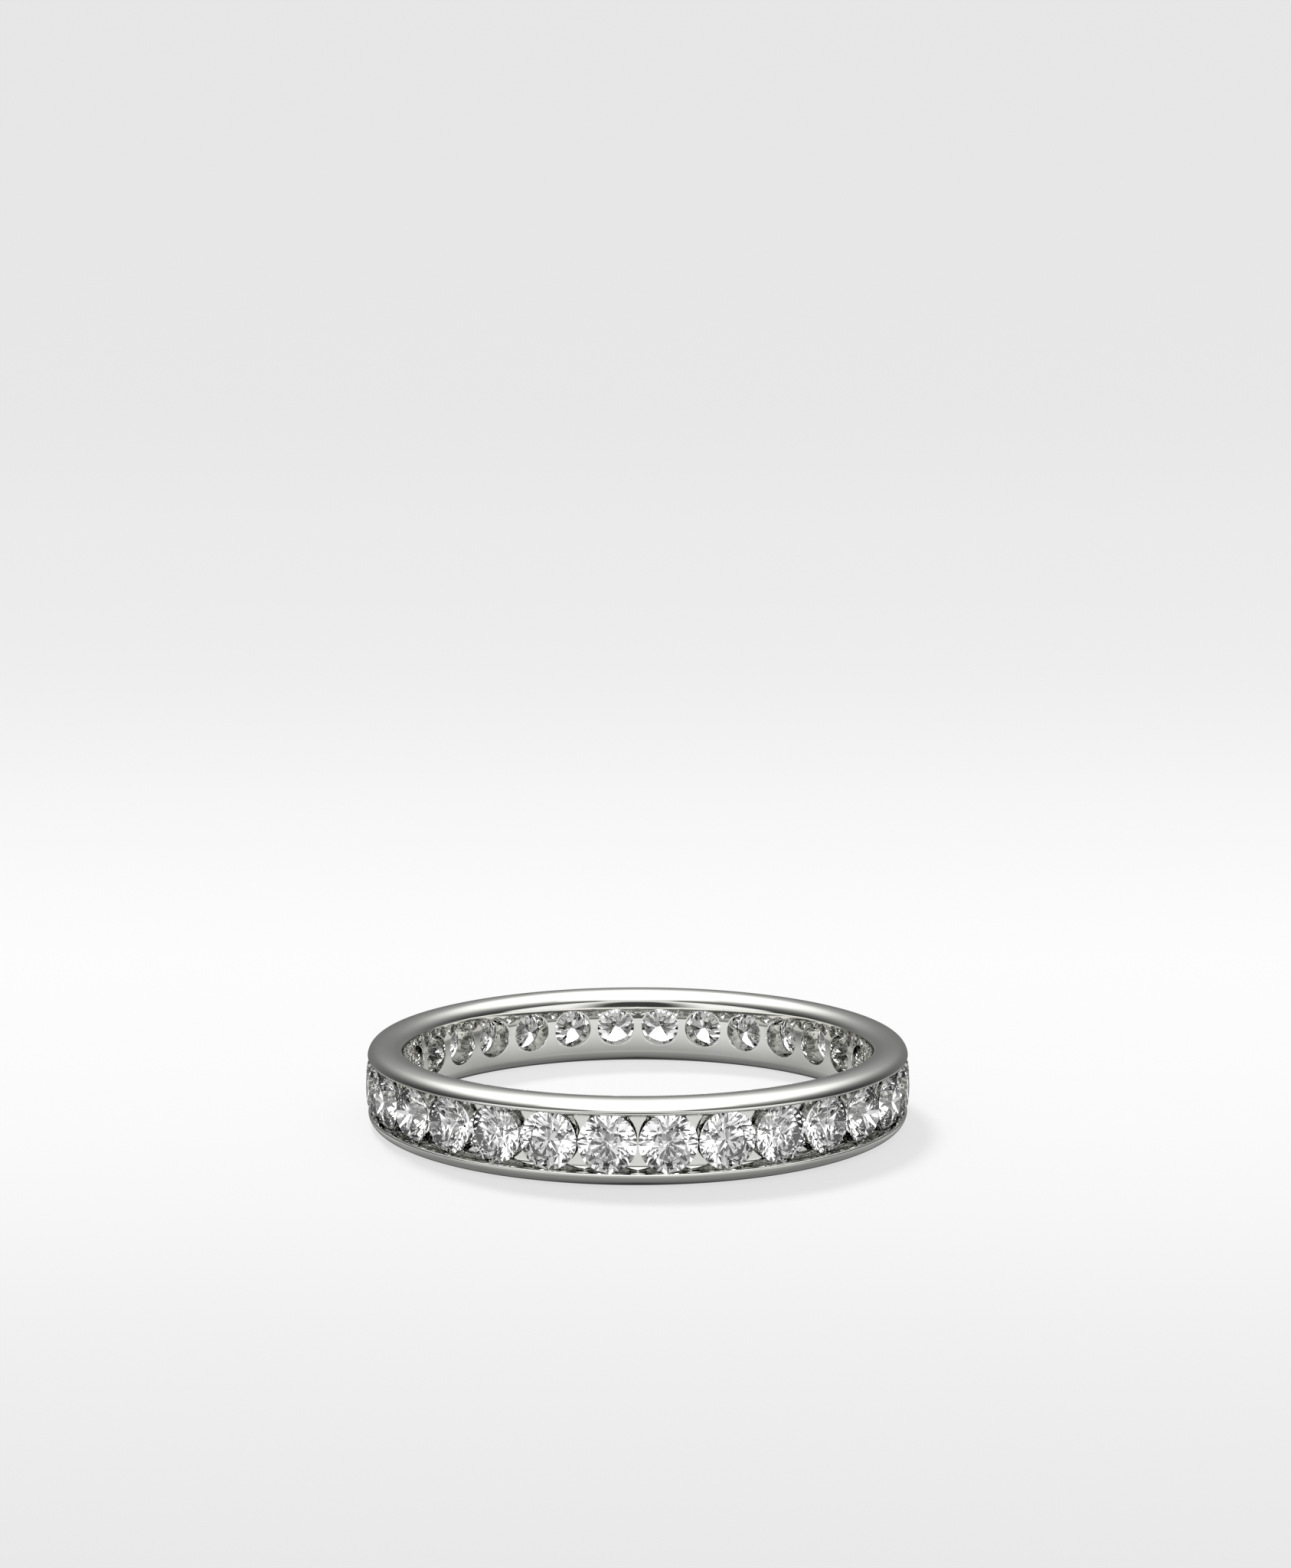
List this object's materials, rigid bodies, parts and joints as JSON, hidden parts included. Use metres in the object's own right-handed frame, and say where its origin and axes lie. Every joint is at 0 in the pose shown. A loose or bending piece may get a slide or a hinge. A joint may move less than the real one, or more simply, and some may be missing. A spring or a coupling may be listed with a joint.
{
  "type": "eternity ring",
  "caption": "Full eternity ring: round brilliant stones held in a channel between two polished rails, with round open holes under them in a domed bore.",
  "frame": {"origin": "middle of the circle that the ring rests on as it lies on its side, at the height of that surface", "axes": "+Z along the axis of the finger hole and up; -Y towards the front of the picture, where a gap between two stones lies; +X to the right of the picture"},
  "size_m": [0.0198, 0.0198, 0.0029],
  "materials": {
    "white_metal": "polished",
    "stone": "faceted"
  },
  "bodies": {
    "root": {"band": "white_metal", "stone_01": "stone", "stone_02": "stone", "stone_03": "stone", "stone_04": "stone", "stone_05": "stone", "stone_06": "stone", "stone_07": "stone", "stone_08": "stone", "stone_09": "stone", "stone_10": "stone", "stone_11": "stone", "stone_12": "stone", "stone_13": "stone", "stone_14": "stone", "stone_15": "stone", "stone_16": "stone", "stone_17": "stone", "stone_18": "stone", "stone_19": "stone", "stone_20": "stone", "stone_21": "stone", "stone_22": "stone", "stone_23": "stone", "stone_24": "stone", "stone_25": "stone", "stone_26": "stone", "stone_27": "stone", "stone_28": "stone", "stone_29": "stone", "stone_30": "stone"}
  },
  "joints": []
}
